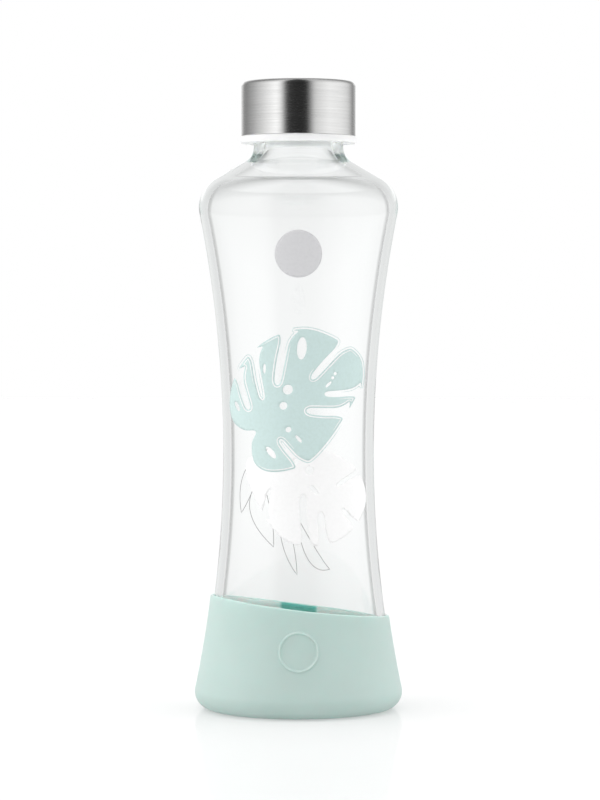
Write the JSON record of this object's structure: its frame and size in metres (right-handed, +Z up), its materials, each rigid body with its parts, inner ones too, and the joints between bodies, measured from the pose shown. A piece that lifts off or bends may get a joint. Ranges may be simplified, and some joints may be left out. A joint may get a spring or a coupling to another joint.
{
  "type": "glass water bottle",
  "caption": "Waisted glass water bottle with a steel-clad screw cap over a plastic insert and sealing washer, standing in a stretched-on silicone sleeve with a slanted rim.",
  "frame": {"origin": "centre of the sleeve's flat underside, on the bottle's axis", "axes": "+Z up along the bottle's axis, -Y towards the printed front"},
  "size_m": [0.0814, 0.0814, 0.245],
  "materials": {
    "glass": "clear, polished, faintly green in its thick edges",
    "silicone": "pale mint, satin, soft to the touch",
    "brushed_steel": "brushed round the cap",
    "white_plastic": "white, moulded, slightly translucent",
    "seal_silicone": "off-white, satin",
    "print_mint": "fired ink, pale mint",
    "print_white": "fired ink, white",
    "print_grey": "fired ink, grey"
  },
  "bodies": {
    "sleeve": {"base_sleeve": "silicone"},
    "bottle": {"glass_bottle": "glass"},
    "seal": {"cap_seal": "seal_silicone"},
    "cap": {"cap_insert": "white_plastic", "cap_shell": "brushed_steel"}
  },
  "joints": [
    {"name": "bottle_pull", "type": "slide", "parent": "sleeve", "child": "bottle", "axis": [0, 0, 1], "range_m": [0, 0.046], "deforming": ["base_sleeve"]},
    {"name": "cap_lift", "type": "slide", "parent": "bottle", "child": "seal", "axis": [0, 0, 1], "range_m": [0, 0.02521]},
    {"name": "cap_turn", "type": "hinge", "parent": "seal", "child": "cap", "pos_m": [0, 0, 0.233], "axis": [0, 0, 1], "range_deg": [0, 2160]}
  ],
  "couplings": [
    {"joint": "cap_lift", "follows": "cap_turn", "m_per_rad": 0.00066845}
  ]
}
